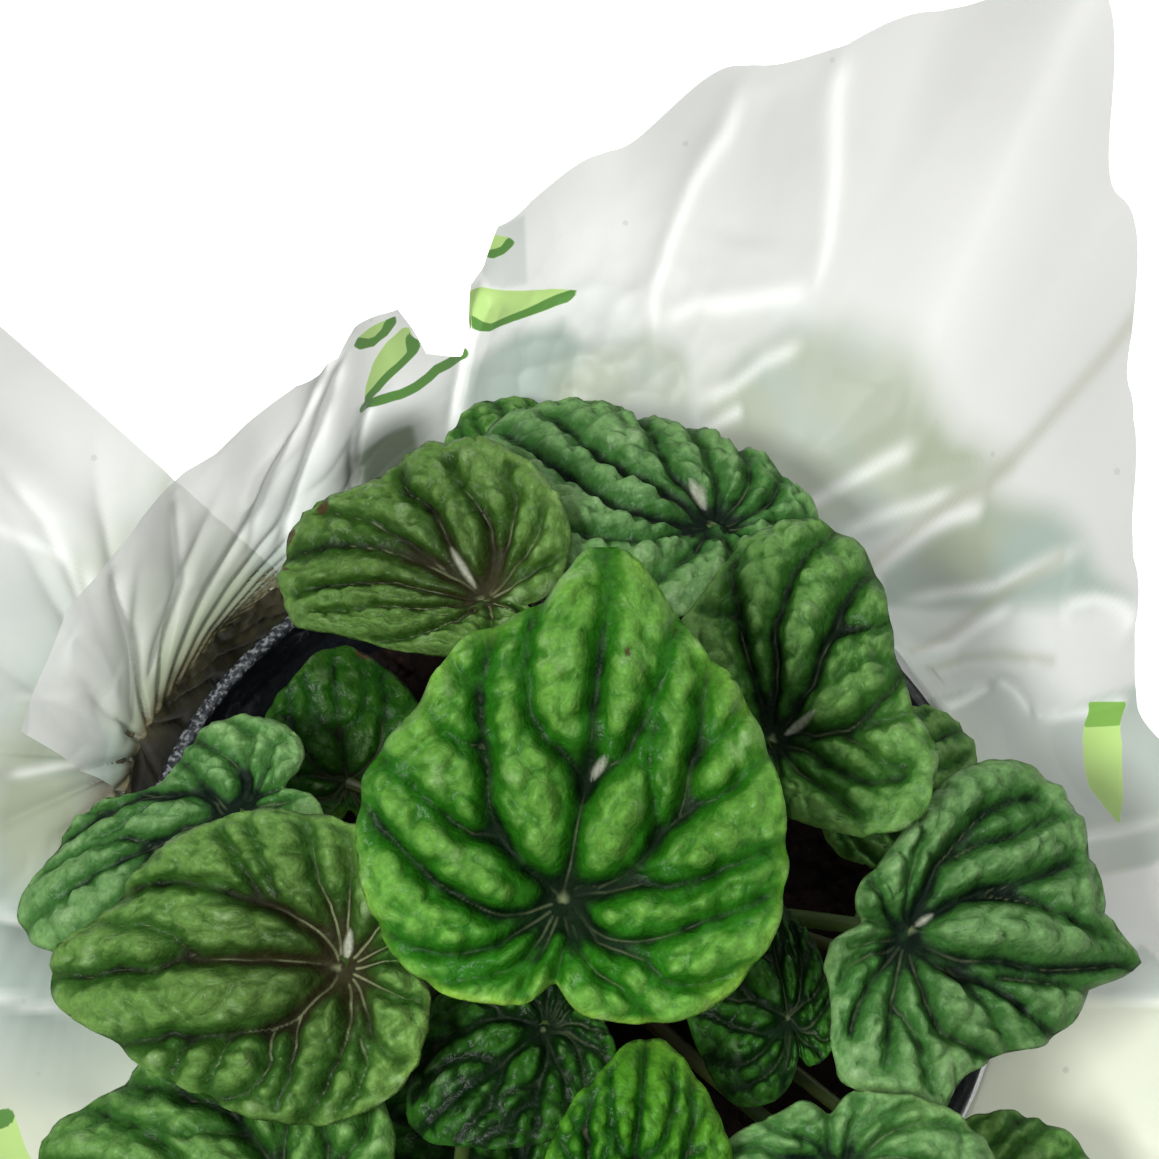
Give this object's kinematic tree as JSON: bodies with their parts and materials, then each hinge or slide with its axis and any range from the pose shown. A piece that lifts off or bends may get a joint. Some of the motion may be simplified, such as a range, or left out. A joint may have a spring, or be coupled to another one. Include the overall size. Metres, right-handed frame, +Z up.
{
  "type": "potted ripple peperomia",
  "caption": "Ripple peperomia with quilted heart-shaped leaves in a round nursery pot, wrapped in a flared clear film sleeve.",
  "frame": {"origin": "middle of the pot's flat base, on the surface it stands on", "axes": "+Z up along the pot's axis, +X to the right and +Y away from the viewer of the front"},
  "size_m": [0.1786, 0.1882, 0.1421],
  "materials": {
    "pot": "moulded plastic with a soft sheen, almost black with a blue-grey cast",
    "soil": "moist dark brown potting mix",
    "crown": "smooth green rootstock",
    "leaf": "quilted leaf with a satin sheen",
    "leaf_bright": "young yellow-green quilted leaf with a satin sheen",
    "leaf_bluish": "dark bluish-green quilted leaf with a satin sheen",
    "film": "clear milky packaging film, creased and glossy"
  },
  "bodies": {
    "root": {"pot": "pot", "soil": "soil", "crown": "crown", "leaf_top": "leaf", "leaf_left": "leaf", "leaf_left_under": "leaf_bluish", "leaf_left_small": "leaf", "leaf_back_left": "leaf", "leaf_back": "leaf_bluish", "leaf_back_right": "leaf", "leaf_right": "leaf_bluish", "leaf_front_left": "leaf", "leaf_front_bright": "leaf_bright", "leaf_mid_right": "leaf", "leaf_front_inner": "leaf", "leaf_mid_front": "leaf", "leaf_front_right": "leaf_bluish", "leaf_far_right": "leaf", "leaf_front_small": "leaf", "leaf_right_under": "leaf", "leaf_back_under": "leaf_bluish", "leaf_front_low": "leaf", "leaf_front_mid": "leaf", "leaf_young_left": "leaf_bright", "leaf_young_right": "leaf_bright", "leaf_right_low": "leaf", "sleeve": "film"}
  },
  "joints": []
}
